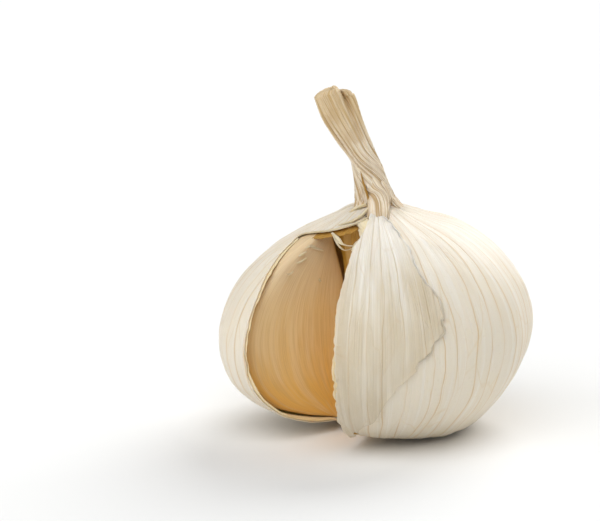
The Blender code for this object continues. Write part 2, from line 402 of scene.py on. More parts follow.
def paper_material(name, colours, vein_strength, vein_spacing, white_strength=0.0, neck_painted_light=0.0):
    """Dry papery skin: fine lengthwise fibres, thin veins that fork, pale streaks, painted shade lower
    down its side, painted light by its neck when asked for, and a tanner foot.
    """
    pale, shaded, low, vein = colours
    material, tree, shader, uv, place = new_material(name)
    fibres = cloud(tree, stretched(tree, uv, (3.4, 0.05, 1.0)), 2.0)
    streaks = cloud(tree, stretched(tree, uv, (0.9, 0.02, 1.0)), 2.0)
    patches = cloud(tree, stretched(tree, uv, (0.16, 0.05, 1.0)), 3.0)
    specks = cloud(tree, stretched(tree, uv, (2.2, 0.9, 1.0)), 2.0)
    veins = vein_pattern(tree, uv, vein_spacing)
    height = height_of(tree, place)

    colour = blend(tree, rise(tree, patches, 0.35, 0.65), pale, shaded)
    # Painted shade: darker towards the lower side, where less of the light from above falls
    colour = blend(tree, rise(tree, height, 0.040, 0.024, 0.0, 0.75), colour, shaded)
    colour = blend(tree, rise(tree, height, 0.007, 0.0, 0.0, 0.75), colour, low)
    colour = blend(tree, rise(tree, streaks, 0.42, 0.66, 0.0, 0.35), colour, shaded)
    colour = blend(tree, rise(tree, streaks, 0.50, 0.34, 0.0, white_strength), colour, SKIN_WHITE)
    # Painted light: paler by the neck, where most of the light from above falls
    colour = blend(tree, rise(tree, height, 0.033, 0.041, 0.0, neck_painted_light), colour, SKIN_WHITE)
    colour = blend(tree, calculate(tree, "MULTIPLY", veins, vein_strength), colour, vein)
    colour = blend(tree, rise(tree, fibres, 0.44, 0.62, 0.0, 0.26), colour, shaded)
    colour = blend(tree, rise(tree, specks, 0.60, 0.72, 0.0, 0.35), colour, low)

    roughness = rise(tree, fibres, 0.3, 0.7, 0.42, 0.60)
    fine = calculate(tree, "MULTIPLY", fibres, 0.7)
    broad = calculate(tree, "MULTIPLY", streaks, 1.2)
    relief = calculate(tree, "ADD", fine, broad)
    relief = calculate(tree, "ADD", relief, calculate(tree, "MULTIPLY", veins, 0.5))
    finish_material(tree, shader, colour, roughness, relief, 0.00016, 0.25)
    return material


def clove_material():
    """Satin clove skin with fine fibres, greyish tan towards the tip and amber towards the root, partly
    its own tone and partly painted warm bounced light and shade.
    """
    material, tree, shader, uv, place = new_material("clove_skin_satin")
    fibres = cloud(tree, stretched(tree, uv, (4.5, 0.12, 1.0)), 3.0)
    bands = cloud(tree, stretched(tree, uv, (0.7, 0.06, 1.0)), 3.0)
    patches = cloud(tree, stretched(tree, uv, (0.12, 0.10, 1.0)), 3.0)
    height = height_of(tree, place)
    wavy = calculate(tree, "ADD", height, calculate(tree, "MULTIPLY", patches, 0.012))
    # Greyish tan above to saturated amber below: partly the skin's own tone, partly painted warm bounced
    # light and shade deep in the opening
    colour = blend(tree, rise(tree, wavy, 0.012, 0.028), (0.84, 0.52, 0.14), (0.80, 0.56, 0.26))
    colour = blend(tree, rise(tree, wavy, 0.028, 0.042), colour, (0.74, 0.57, 0.36))
    colour = blend(tree, rise(tree, bands, 0.42, 0.64, 0.0, 0.40), colour, (0.88, 0.69, 0.42))
    colour = blend(tree, rise(tree, fibres, 0.44, 0.62, 0.0, 0.32), colour, (0.62, 0.40, 0.17))
    roughness = rise(tree, fibres, 0.3, 0.7, 0.42, 0.56)
    relief = calculate(tree, "ADD", fibres, bands)
    finish_material(tree, shader, colour, roughness, relief, 0.00006, 0.20)
    return material


def painted_glow_film_material():
    """The translucent film round the core: deep amber under the roof as painted shade, paler towards the
    foot, and a painted amber glow in place of light shining through it.
    """
    material, tree, shader, uv, place = new_material("amber_film_painted_glow")
    folds = cloud(tree, stretched(tree, uv, (0.45, 0.05, 1.0)), 3.0)
    fibres = cloud(tree, stretched(tree, uv, (2.6, 0.08, 1.0)), 2.0)
    height = height_of(tree, place)
    # Painted shade: deep amber high up under the roof, paler lower down
    colour = blend(tree, rise(tree, height, 0.012, 0.035), (0.80, 0.56, 0.27), (0.34, 0.17, 0.02))
    colour = blend(tree, rise(tree, folds, 0.42, 0.66, 0.0, 0.30), colour, (0.84, 0.62, 0.33))
    colour = blend(tree, rise(tree, fibres, 0.45, 0.65, 0.0, 0.18), colour, (0.58, 0.36, 0.13))
    roughness = rise(tree, fibres, 0.3, 0.7, 0.45, 0.60)
    # Painted glow: a faint amber light of its own, in place of light shining through the skins
    shader.inputs["Emission Color"].default_value = (0.42, 0.20, 0.02, 1.0)
    shader.inputs["Emission Strength"].default_value = 0.22
    finish_material(tree, shader, colour, roughness, folds, 0.00008, 0.25)
    return material


def stem_material():
    """Dry fibrous stalk: pale fibres with tan grooves between them."""
    material, tree, shader, uv, place = new_material("stem_fibre")
    fibres = cloud(tree, stretched(tree, uv, (4.2, 0.08, 1.0)), 3.0)
    cords = cloud(tree, stretched(tree, uv, (1.5, 0.04, 1.0)), 2.0)
    patches = cloud(tree, stretched(tree, place, (350.0, 350.0, 200.0)), 3.0)
    height = height_of(tree, place)
    colour = blend(tree, rise(tree, cords, 0.42, 0.56), (0.50, 0.34, 0.17), (0.80, 0.67, 0.49))
    colour = blend(tree, rise(tree, fibres, 0.48, 0.60, 0.0, 0.80), colour, (0.90, 0.82, 0.70))
    colour = blend(tree, rise(tree, height, 0.054, 0.064, 0.0, 0.55), colour, (0.62, 0.43, 0.19))
    colour = blend(tree, rise(tree, patches, 0.48, 0.68, 0.0, 0.45), colour, (0.56, 0.39, 0.20))
    roughness = rise(tree, fibres, 0.3, 0.7, 0.60, 0.80)
    relief = calculate(tree, "ADD", fibres, calculate(tree, "MULTIPLY", cords, 2.0))
    finish_material(tree, shader, colour, roughness, relief, 0.00022, 0.15)
    return material


def root_material():
    """Corky, dirty brown root plate."""
    material, tree, shader, uv, place = new_material("root_cork")
    grains = cloud(tree, stretched(tree, place, (1600.0, 1600.0, 900.0)), 4.0)
    patches = cloud(tree, stretched(tree, place, (350.0, 350.0, 350.0)), 3.0)
    colour = blend(tree, rise(tree, patches, 0.35, 0.65), (0.36, 0.24, 0.12), (0.55, 0.42, 0.25))
    colour = blend(tree, rise(tree, grains, 0.45, 0.65, 0.0, 0.6), colour, (0.22, 0.14, 0.07))
    roughness = rise(tree, grains, 0.3, 0.7, 0.80, 0.95)
    finish_material(tree, shader, colour, roughness, grains, 0.00030, 0.0)
    return material


# Wrapper and outer skin -----------------------------------

# How much the columns of a grid crowd towards its torn edges
EDGE_CROWDING = 0.35
# How far from a torn edge its lip begins to turn
LIP_WIDTH = 0.0009
# How ragged each torn edge is, in degrees, and its seed
WRAPPER_RIGHT_TEETH = (0.25, 71)
WRAPPER_LEFT_TEETH = (0.35, 81)
OUTER_SKIN_LEFT_TEETH = (0.45, 91)
OUTER_SKIN_RIGHT_TEETH = (0.7, 101)
# The thickness of the thin layers that show round the opening
FILM_THICKNESS = 0.00014


def crowded(count):
    """Shares from 0 to 1 that lie closer together near both ends."""
    even = np.linspace(0.0, 1.0, count)
    return even - EDGE_CROWDING * np.sin(2.0 * np.pi * even) / (2.0 * np.pi)


def skin_relief(azimuth, climb):
    """How far the papery skin stands out from the smooth form: ribs, dents, and pleats at both ends."""
    ribs = 0.00010 * rough(azimuth / 5.0, climb * 3.0, 11)
    ribs = ribs + 0.00005 * noise(azimuth / 1.7, climb * 4.0, 21)
    dents = 0.00012 * rough(azimuth / 14.0, climb * 12.0, 31)
    gathers = 0.00018 * ease(0.84, 0.96, climb) * noise(azimuth / 6.0, climb * 2.0, 41)
    foot_gathers = 0.00022 * ease(0.24, 0.15, climb) * noise(azimuth / 7.0, climb * 3.0, 51)
    return ribs + dents + gathers + foot_gathers


def ragged(table, climb, amount, seed):
    """A torn edge's azimuths: its table with uneven small teeth, in some stretches more than in others."""
    teeth = rough(climb * 34.0, 0.5, seed) + 0.7 * noise(climb * 150.0, 0.5, seed + 7)
    stretches = 1.0 + 0.8 * noise(climb * 9.0, 0.5, seed + 9)
    return along(table, climb) + amount * teeth * stretches


def skin_piece(name, climbs, edges, columns, inset, thickness, lips, material, stands_for=None):
    """A sheet of skin over the bulb between two torn edges.

    lips says how far each edge's lip turns outwards, in the same order as the edges.
    """
    first, last = edges
    climb = climbs[:, None]
    azimuth = mix(first[:, None], last[:, None], crowded(columns)[None, :])
    radius = profile_point(climb, 0.5)[0]
    proud = -inset + skin_relief(azimuth, climb)
    for edge, lip in zip(edges, lips):
        away = np.abs(np.radians(azimuth - edge[:, None])) * radius
        unevenness = 1.0 + 0.5 * noise(climb * 60.0, away * 600.0, 61)
        proud = proud + lip * bump(0.0, LIP_WIDTH, away) * unevenness
    outer = bulb(azimuth, climb, -proud)
    inner = bulb(azimuth, climb, -proud + thickness)
    shell(name, outer, inner, skin_uvs(azimuth, climb), material, stands_for)


def add_wrapper(material):
    """The papery skin round all the cloves, open between its torn edges."""
    climbs = np.linspace(WRAPPER_FOOT_CLIMB, WRAPPER_TOP_CLIMB, WRAPPER_ROWS)
    right = ragged(WRAPPER_EDGE_RIGHT, climbs, *WRAPPER_RIGHT_TEETH)
    left = ragged(WRAPPER_EDGE_LEFT, climbs, *WRAPPER_LEFT_TEETH)
    skin_piece(
        "wrapper", climbs, (right, left), WRAPPER_COLUMNS, 0.0, WRAPPER_THICKNESS, (0.0, 0.0), material,
        "wrapper_skin",
    )


OUTER_SKIN_CLIMBS = (0.235, 0.90)
OUTER_SKIN_COLUMNS = 130
OUTER_SKIN_ROWS = 230
OUTER_SKIN_AIR = 0.00006
OUTER_SKIN_THICKNESS = 0.00030
# How far the left and right lips turn outwards
OUTER_SKIN_LIPS = (0.00035, 0.00012)
OUTER_SKIN_EDGE_RIGHT = (
    (0.24, -13.0),
    (0.30, -9.0),
    (0.34, -2.0),
    (0.40, 2.5),
    (0.44, 6.0),
    (0.475, 12.0),
    (0.50, 13.5),
    (0.515, 18.0),
    (0.545, 19.0),
    (0.565, 24.0),
    (0.62, 25.0),
    (0.65, 23.0),
    (0.68, 19.5),
    (0.73, 18.0),
    (0.84, 16.0),
    (0.90, 5.0),
)
OUTER_SKIN_EDGE_LEFT = (
    (0.24, -17.0),
    (0.38, -16.6),
    (0.46, -15.2),
    (0.56, -16.2),
    (0.62, -16.8),
    (0.70, -15.8),
    (0.755, -15.6),
    (0.80, -12.8),
    (0.85, -11.0),
    (0.90, -10.0),
)


def add_outer_skin(material):
    """The whiter torn piece of the outermost skin on the front clove."""
    climbs = np.linspace(*OUTER_SKIN_CLIMBS, OUTER_SKIN_ROWS)
    left = ragged(OUTER_SKIN_EDGE_LEFT, climbs, *OUTER_SKIN_LEFT_TEETH)
    right = ragged(OUTER_SKIN_EDGE_RIGHT, climbs, *OUTER_SKIN_RIGHT_TEETH)
    skin_piece(
        "outer_skin", climbs, (left, right), OUTER_SKIN_COLUMNS, -OUTER_SKIN_AIR - OUTER_SKIN_THICKNESS,
        OUTER_SKIN_THICKNESS, OUTER_SKIN_LIPS, material, "outer_skin_remnant",
    )


INNER_SKIN_CLIMBS = (0.13, 0.77)
INNER_SKIN_COLUMNS = 60
INNER_SKIN_ROWS = 170
INNER_SKIN_WIDTH = 9.0
INNER_SKIN_INSET = 0.00026
INNER_SKIN_LIP = -0.00012
# How far the inner layer shows past the wrapper's torn edge, in degrees against climb
INNER_SKIN_SHOWS = (
    (0.10, 1.0),
    (0.22, 1.8),
    (0.32, 3.2),
    (0.40, 2.2),
    (0.47, 0.5),
    (0.60, 0.3),
    (0.66, 1.2),
    (0.72, 2.2),
    (0.775, 1.6),
)


def add_inner_skin(material):
    """The layer under the wrapper, whose ragged rim shows along the left of the opening."""
    climbs = np.linspace(*INNER_SKIN_CLIMBS, INNER_SKIN_ROWS)
    rim = ragged(WRAPPER_EDGE_LEFT, climbs, *WRAPPER_LEFT_TEETH) + along(INNER_SKIN_SHOWS, climbs)
    rim = rim + 0.5 * rough(climbs * 40.0, 0.5, 211)
    skin_piece(
        "inner_skin", climbs, (rim, rim - INNER_SKIN_WIDTH), INNER_SKIN_COLUMNS, INNER_SKIN_INSET,
        FILM_THICKNESS, (INNER_SKIN_LIP, 0.0), material,
    )


# The curled rim along the front skin's torn right edge, which it keeps a few tenths of a degree inside;
# its flatness is its thickness over its width
SIDE_RIM_CLIMBS = (0.50, 0.87)
SIDE_RIM_STATIONS = 90
SIDE_RIM_BACK = 0.35
SIDE_RIM_WIDTH = 0.00018
SIDE_RIM_FLATNESS = 0.6
SIDE_RIM_PROUD = 0.00042


def add_side_rim(material):
    """A thin curled rim that follows the front skin's torn right edge."""
    climb = np.linspace(*SIDE_RIM_CLIMBS, SIDE_RIM_STATIONS)
    azimuth = ragged(OUTER_SKIN_EDGE_RIGHT, climb, *OUTER_SKIN_RIGHT_TEETH) - SIDE_RIM_BACK
    azimuth = azimuth + 0.5 * rough(climb * 60.0, 0.5, 311)
    wide = SIDE_RIM_WIDTH * (1.0 + 0.9 * noise(climb * 75.0, 0.5, 301))
    middle = bulb(azimuth, climb, -SIDE_RIM_PROUD)
    stations = strip_stations(middle, wide, SIDE_RIM_FLATNESS * wide, azimuth + 90.0)
    add_strand("side_rim", stations, material, 303, 0.4, rows=360, columns=16)


FRONT_RIM_CLIMBS = (0.24, 0.80)
FRONT_RIM_COLUMNS = 30
FRONT_RIM_WIDTH = 2.2
FRONT_RIM_INSET = 0.00002
FRONT_RIM_LIP = 0.00004
# How far the layer shows past the front skin's left edge, in degrees against climb
FRONT_RIM_SHOWS = (
    (0.24, 0.2),
    (0.38, 0.5),
    (0.42, 1.2),
    (0.50, 1.5),
    (0.54, 0.5),
    (0.66, 0.3),
    (0.76, 0.6),
    (0.80, 0.2),
)


def add_front_rim(material):
    """The layer under the front skin, whose rim shows in places along the right of the opening."""
    climbs = np.linspace(*FRONT_RIM_CLIMBS, INNER_SKIN_ROWS)
    rim = ragged(OUTER_SKIN_EDGE_LEFT, climbs, *OUTER_SKIN_LEFT_TEETH) - along(FRONT_RIM_SHOWS, climbs)
    rim = rim + 0.35 * rough(climbs * 45.0, 0.5, 215)
    skin_piece(
        "front_rim", climbs, (rim, rim + FRONT_RIM_WIDTH), FRONT_RIM_COLUMNS, FRONT_RIM_INSET,
        FILM_THICKNESS, (FRONT_RIM_LIP, 0.0), material,
    )


# The lower edge of the layer under the roof: its climb against azimuth
ROOF_EDGE = (
    (277.0, 0.770),
    (285.0, 0.768),
    (296.0, 0.788),
    (309.0, 0.800),
    (329.0, 0.818),
    (338.0, 0.838),
    (345.0, 0.865),
)
ROOF_COLUMNS = 160
ROOF_ROWS = 50
ROOF_TOP_CLIMB = 0.95


def add_roof_layer(material):
    """The thin layer that sags under the skin over the opening, dark amber as painted shade under the
    roof.
    """
    azimuth = np.linspace(ROOF_EDGE[0][0], ROOF_EDGE[-1][0], ROOF_COLUMNS)[None, :]
    low = along(ROOF_EDGE, azimuth) + 0.003 * rough(azimuth / 2.2, 0.5, 221)
    share = np.linspace(0.0, 1.0, ROOF_ROWS)[:, None]
    climb = mix(low, ROOF_TOP_CLIMB, share)
    sag = 0.00040 + 0.00045 * bump(0.0, 0.18, share) + 0.00010 * rough(azimuth / 4.0, share * 3.0, 231)
    outer, inner = (bulb(azimuth, climb, sag + depth) for depth in (0.0, FILM_THICKNESS))
    shell("roof_layer", outer, inner, skin_uvs(azimuth, climb), material)


# Strips of torn skin: name, how crumpled it is, then stations along it. Each station is the azimuth, climb
# and inset of the strip's middle, its half width, its half thickness and the azimuth its width points to
SHREDS = (
    ("hanging_shred", 0.4, (
        (312.0, 0.812, 0.0005, 0.00015, 0.00007, 60.0),
        (320.0, 0.806, 0.0010, 0.00030, 0.00007, 60.0),
        (328.0, 0.796, 0.0016, 0.00032, 0.00007, 80.0),
        (336.0, 0.786, 0.0012, 0.00030, 0.00007, 110.0),
        (343.0, 0.776, 0.0004, 0.00020, 0.00007, 120.0),
    )),
    ("hanging_thread", 0.3, (
        (316.0, 0.806, 0.0008, 0.00010, 0.00007, 60.0),
        (324.0, 0.795, 0.0018, 0.00016, 0.00007, 60.0),
        (333.0, 0.782, 0.0020, 0.00016, 0.00007, 80.0),
        (341.0, 0.772, 0.0008, 0.00012, 0.00007, 110.0),
    )),
    ("white_curl", 0.5, (
        (349.0, 0.796, 0.0002, 0.00020, 0.00010, 60.0),
        (347.0, 0.785, -0.0002, 0.00050, 0.00010, 50.0),
        (344.5, 0.773, 0.0000, 0.00055, 0.00010, 30.0),
        (342.5, 0.761, 0.0004, 0.00020, 0.00010, 20.0),
    )),
    ("torn_flap", 0.4, (
        (343.0, 0.872, 0.0001, 0.00090, 0.00012, 75.0),
        (344.0, 0.852, 0.0000, 0.00105, 0.00012, 75.0),
        (345.5, 0.830, 0.0001, 0.00085, 0.00012, 70.0),
        (347.5, 0.808, 0.0003, 0.00050, 0.00012, 70.0),
        (349.0, 0.794, 0.0004, 0.00015, 0.00010, 70.0),
    )),
    ("roof_rim", 0.35, (
        (284.5, 0.748, 0.0003, 0.00012, 0.00010, 90.0),
        (279.0, 0.768, 0.0002, 0.00018, 0.00012, 90.0),
        (282.0, 0.784, 0.0002, 0.00020, 0.00014, 0.0),
        (296.0, 0.799, 0.0001, 0.00020, 0.00016, 0.0),
        (309.0, 0.813, 0.0002, 0.00022, 0.00016, 0.0),
        (320.0, 0.826, 0.0001, 0.00026, 0.00018, 0.0),
        (330.0, 0.840, 0.0000, 0.00030, 0.00018, 0.0),
        (339.0, 0.857, 0.0000, 0.00032, 0.00018, 0.0),
        (344.0, 0.880, 0.0001, 0.00028, 0.00018, 0.0),
    )),
    ("roof_fold", 0.45, (
        (306.0, 0.826, 0.0003, 0.00010, 0.00008, 0.0),
        (318.0, 0.840, 0.0000, 0.00022, 0.00014, 0.0),
        (328.0, 0.855, -0.0002, 0.00030, 0.00020, 0.0),
        (336.0, 0.874, -0.0004, 0.00032, 0.00024, 0.0),
        (340.0, 0.898, -0.0004, 0.00032, 0.00026, 0.0),
        (342.0, 0.930, -0.0003, 0.00030, 0.00026, 0.0),
    )),
    ("left_neck_fold", 0.45, (
        (290.0, 0.866, 0.0012, 0.00010, 0.00008, 0.0),
        (298.0, 0.884, 0.0006, 0.00022, 0.00014, 0.0),
        (304.0, 0.902, 0.0001, 0.00032, 0.00022, 0.0),
        (311.0, 0.922, -0.0002, 0.00040, 0.00030, 0.0),
        (320.0, 0.948, -0.0002, 0.00042, 0.00030, 0.0),
    )),
)
# A brown speck at the foot of the outer skin
FOOT_SPECK = (
    ("foot_speck", 0.4, (
        (-11.6, 0.282, -0.0003, 0.00010, 0.00010, 80.0),
        (-11.2, 0.277, -0.00045, 0.00036, 0.00014, 80.0),
        (-10.8, 0.272, -0.0003, 0.00012, 0.00010, 80.0),
    )),
)
# Marks on the exposed clove's flank: the flank's azimuth, then each mark's name and stations. Each station
# is the distance from the stem's axis, the height and the half width
FLANK_AZIMUTH = 301.45
FLANK_MARKS = (
    ("flank_crease", (
        (0.0162, 0.0374, 0.00008),
        (0.0150, 0.0376, 0.00026),
        (0.0135, 0.0370, 0.00022),
        (0.0122, 0.0365, 0.00008),
    )),
    ("flank_scuff_high", (
        (0.0178, 0.0360, 0.00008),
        (0.0169, 0.0363, 0.00022),
        (0.0161, 0.0367, 0.00008),
    )),
    ("flank_scuff_low", (
        (0.0182, 0.0347, 0.00008),
        (0.0171, 0.0349, 0.00022),
        (0.0160, 0.0355, 0.00008),
    )),
    ("flank_scuff_left", (
        (0.0206, 0.0328, 0.00006),
        (0.0199, 0.0326, 0.00012),
        (0.0190, 0.0331, 0.00006),
    )),
    ("flank_speck", (
        (0.0130, 0.0310, 0.00008),
        (0.0129, 0.0307, 0.00016),
        (0.0128, 0.0304, 0.00008),
    )),
)
MARK_HALF_THICKNESS = 0.00013


def strip_stations(middle, wide, thick, turn):
    """Stations for a strand without a cleft, from its middle, half sizes and the width's azimuth."""
    uncleft = np.zeros(len(middle))
    return np.column_stack((middle, uncleft + wide, uncleft + thick, uncleft + turn, uncleft))


def add_shreds(shreds, material, first_seed):
    """Strips of skin that lie along the bulb's form."""
    for seed, (name, crumple, places) in enumerate(shreds, start=first_seed):
        azimuth, climb, inset, wide, thick, turn = np.array(places).T
        stations = strip_stations(bulb(azimuth, climb, inset), wide, thick, turn)
        add_strand(name, stations, material, seed, crumple, rows=110, columns=24)


def add_flank_marks(material):
    """A raised crease, scuffs and a speck on the side of the clove beside the opening."""
    for seed, (name, places) in enumerate(FLANK_MARKS, start=271):
        radius, height, wide = np.array(places).T
        middle = round_axis(FLANK_AZIMUTH, radius, height)
        stations = strip_stations(middle, wide, MARK_HALF_THICKNESS, CLOVE_EDGES[-1])
        add_strand(name, stations, material, seed, 0.3, rows=40, columns=16)


# The film round the core: its azimuths, and its radius against height
SHEATH_AZIMUTHS = (282.0, 352.0)
SHEATH_COLUMNS = 120
SHEATH_ROWS = 90
SHEATH_RADIUS = (
    (0.0020, 0.0076),
    (0.0060, 0.0064),
    (0.0200, 0.0060),
    (0.0320, 0.0066),
    (0.0405, 0.0074),
)
SHEATH_PLEAT = 0.0007
# Its texture coordinates: millimetres to a degree, and millimetres from foot to top
SHEATH_MM_ROUND = 0.12
SHEATH_MM_UP = 36.0


def add_core_sheath(material):
    """The amber film round the core, seen deep in the opening, carrying painted shade and a painted glow
    there.
    """
    azimuth = np.linspace(*SHEATH_AZIMUTHS, SHEATH_COLUMNS)[None, :]
    share = np.linspace(0.0, 1.0, SHEATH_ROWS)[:, None]
    height = mix(SHEATH_RADIUS[0][0], SHEATH_RADIUS[-1][0], share)
    pleats = SHEATH_PLEAT * rough(azimuth / 11.0 + 1.5 * share, share * 2.0, 261)
    radius = softened(SHEATH_RADIUS, height, 0.003) + pleats
    outer, inner = (round_axis(azimuth, radius - depth, height) for depth in (0.0, FILM_THICKNESS))
    uvs = np.stack(np.broadcast_arrays(azimuth * SHEATH_MM_ROUND, share * SHEATH_MM_UP), axis=-1)
    shell("core_sheath", outer, inner, uvs, material)


# Cloves ---------------------------------------------------

CLOVE_COLUMNS = 144
CLOVE_ROWS = 110
CLOVE_INSET = 0.0006
CLOVE_SIDE_AIR = 0.00025
CLOVE_BASE_CLIMB = 0.13
CLOVE_TIP_CLIMB = 0.865
CLOVE_BASE_HEIGHT = 0.0024
# How far the tip's inner side lies below the bulb's form
CLOVE_TIP_DROP = 0.0014
# The cross-section's outline: across the clove from -1 to 1, and out from 0 at the stem to 1
CLOVE_SECTION = np.array((
    (0.00, 1.00),
    (0.52, 1.00),
    (0.90, 0.95),
    (1.00, 0.70),
    (1.00, 0.35),
    (0.75, 0.03),
    (0.00, 0.00),
    (-0.75, 0.03),
    (-1.00, 0.35),
    (-1.00, 0.70),
    (-0.90, 0.95),
    (-0.52, 1.00),
))
CLOVE_SECTION_FILL = 0.97
# The inner edge's distance from the stem's axis, and the width, against the share of the way up
CLOVE_INNER_EDGE = (
    (0.00, 0.0074),
    (0.20, 0.0056),
    (0.45, 0.0054),
    (0.70, 0.0064),
    (0.88, 0.0084),
    (1.00, 0.0100),
)
CLOVE_WIDTH = (
    (0.00, 0.96),
    (0.12, 1.00),
    (0.60, 1.00),
    (0.86, 0.98),
    (1.00, 0.84),
)
CLOVE_SOFTENING = 0.08
# How each ring over a rounded end shrinks, and how high the end bulges
CLOVE_END_SHRINK = (0.12, 0.35, 0.65, 0.95)
CLOVE_END_BULGE = 0.0003
CLOVE_UV_SIZE = (62.0, 42.0)
# Clove 7 lies open at the left of the gap, and the flank of clove 1 shows at its right
SHOWN_CLOVES = (1, 7)


def clove_section(columns):
    """The rounded cross-section as two rows of shares: across the clove, and out from the stem."""
    loop = np.concatenate((CLOVE_SECTION[-1:], CLOVE_SECTION, CLOVE_SECTION[:2]))
    place = 1.0 + np.arange(columns) * len(CLOVE_SECTION) / columns
    across, out = curve_through(loop, place).T
    return across * CLOVE_SECTION_FILL, (1.0 - CLOVE_SECTION_FILL) / 2.0 + out * CLOVE_SECTION_FILL


def clove_rings(number):
    """Rings of points up a clove, between its two neighbours."""
    first, last = CLOVE_EDGES[number - 1], CLOVE_EDGES[number]
    middle, half = (first + last) / 2.0, (last - first) / 2.0
    share = np.linspace(0.0, 1.0, CLOVE_ROWS)[:, None]
    across, out = clove_section(CLOVE_COLUMNS)
    climb = mix(CLOVE_BASE_CLIMB, CLOVE_TIP_CLIMB, share)
    tip = bulb(np.array(middle), np.array(CLOVE_TIP_CLIMB), CLOVE_INSET)[2] - CLOVE_TIP_DROP
    width = half * softened(CLOVE_WIDTH, share, CLOVE_SOFTENING)
    outer = bulb(middle + across * width, climb, CLOVE_INSET)
    inner_radius = softened(CLOVE_INNER_EDGE, share, CLOVE_SOFTENING)
    radius = mix(inner_radius, np.hypot(outer[..., 0], outer[..., 1]), out)
    height = mix(mix(CLOVE_BASE_HEIGHT, tip, share), outer[..., 2], out)
    side = width - np.degrees(np.arcsin(CLOVE_SIDE_AIR / radius))
    wobble = 0.9 * noise(share * 3.0 + number, out * 2.0, 111)
    wobble = wobble * ease(0.0, 0.2, share) * ease(1.0, 0.8, share)
    return round_axis(middle + across * (side - 0.5 + 0.5 * wobble), radius, height)


def rounded_ends(rings):
    """The clove's rings with shrinking ones added over its base and its tip."""
    low_end, high_end = [], []
    for step, shrink in enumerate(CLOVE_END_SHRINK, start=1):
        bulge = np.array((0.0, 0.0, CLOVE_END_BULGE * step**0.5))
        low_end.insert(0, shrunk(rings[0], shrink) - bulge)
        high_end.append(shrunk(rings[-1], shrink) + bulge)
    return np.stack((*low_end, *rings, *high_end))


def add_clove(number, material):
    """A clove that shows in the opening."""
    rings = rounded_ends(clove_rings(number))
    rows, columns = rings.shape[:2]
    u = np.linspace(0.0, CLOVE_UV_SIZE[0], columns)[None, :]
    v = np.linspace(0.0, CLOVE_UV_SIZE[1], rows)[:, None]
    uvs = np.stack(np.broadcast_arrays(u, v), axis=-1)
    tube(f"clove_{number}_detailed", rings, uvs, material, f"clove_{number}")


# Stem -----------------------------------------------------

# Each station: X, Y and height of the middle, half width, half thickness, the azimuth the width points to,
# and the depth of the cleft between the two lobes
STEM_CORE = np.array((
    (0.0001, 0.0000, 0.0400, 0.0029, 0.0029, 60.0, 0.00),
    (0.0003, 0.0000, 0.0440, 0.0033, 0.0031, 65.0, 0.05),
    (-0.0004, 0.0001, 0.0470, 0.0031, 0.0029, 70.0, 0.10),
    (-0.0016, 0.0003, 0.0510, 0.0027, 0.0023, 80.0, 0.10),
    (-0.0029, 0.0004, 0.0545, 0.0024, 0.0020, 90.0, 0.10),
    (-0.0050, 0.0003, 0.0585, 0.0029, 0.0020, 98.0, 0.25),
    (-0.0070, 0.0000, 0.0630, 0.0035, 0.0021, 100.0, 0.60),
    (-0.0084, -0.0002, 0.0672, 0.0037, 0.0022, 100.0, 0.95),
))
# The folds that come down from the core and spread over the shoulder
STEM_FRONT_FOLD = np.array((
    (-0.0028, 0.0004, 0.0540, 0.0008, 0.0008, 95.0, 0.0),
    (-0.0014, 0.0000, 0.0510, 0.0014, 0.0012, 92.0, 0.0),
    (-0.0001, -0.0011, 0.0483, 0.0021, 0.0017, 90.0, 0.0),
    (0.0004, -0.0022, 0.0464, 0.0022, 0.0016, 90.0, 0.0),
    (0.0004, -0.0042, 0.0449, 0.0021, 0.0012, 88.0, 0.0),
    (0.0003, -0.0066, 0.0436, 0.0022, 0.0009, 86.0, 0.0),
    (0.0003, -0.0078, 0.0425, 0.0017, 0.0006, 86.0, 0.0),
    (0.0003, -0.0086, 0.0416, 0.0007, 0.0003, 86.0, 0.0),
))
STEM_LEFT_FOLD = np.array((
    (-0.0038, 0.0006, 0.0560, 0.0008, 0.0008, 60.0, 0.0),
    (-0.0037, 0.0000, 0.0530, 0.0011, 0.0010, 60.0, 0.0),
    (-0.0031, -0.0004, 0.0500, 0.0013, 0.0010, 60.0, 0.0),
    (-0.0028, -0.0006, 0.0470, 0.0014, 0.0010, 60.0, 0.0),
    (-0.0026, -0.0010, 0.0450, 0.0016, 0.0009, 60.0, 0.0),
    (-0.0030, -0.0022, 0.0439, 0.0016, 0.0006, 60.0, 0.0),
))
STEM_RIGHT_FOLD = np.array((
    (-0.0004, 0.0012, 0.0520, 0.0010, 0.0008, 10.0, 0.0),
    (0.0010, 0.0008, 0.0490, 0.0014, 0.0009, 5.0, 0.0),
    (0.0021, 0.0003, 0.0466, 0.0017, 0.0010, 0.0, 0.0),
    (0.0031, -0.0002, 0.0451, 0.0020, 0.0010, -5.0, 0.0),
    (0.0043, -0.0006, 0.0440, 0.0021, 0.0008, -8.0, 0.0),
    (0.0062, -0.0009, 0.0427, 0.0019, 0.0004, -8.0, 0.0),
))
STEM_BACK_FOLD = np.array((
    (-0.0030, 0.0020, 0.0540, 0.0016, 0.0010, 95.0, 0.0),
    (-0.0012, 0.0022, 0.0500, 0.0022, 0.0013, 90.0, 0.0),
    (-0.0002, 0.0028, 0.0468, 0.0026, 0.0014, 90.0, 0.0),
    (-0.0001, 0.0044, 0.0450, 0.0028, 0.0011, 90.0, 0.0),
    (0.0001, 0.0066, 0.0435, 0.0026, 0.0007, 90.0, 0.0),
    (0.0001, 0.0081, 0.0423, 0.0019, 0.0005, 90.0, 0.0),
    (0.0001, 0.0092, 0.0412, 0.0007, 0.0003, 90.0, 0.0),
))
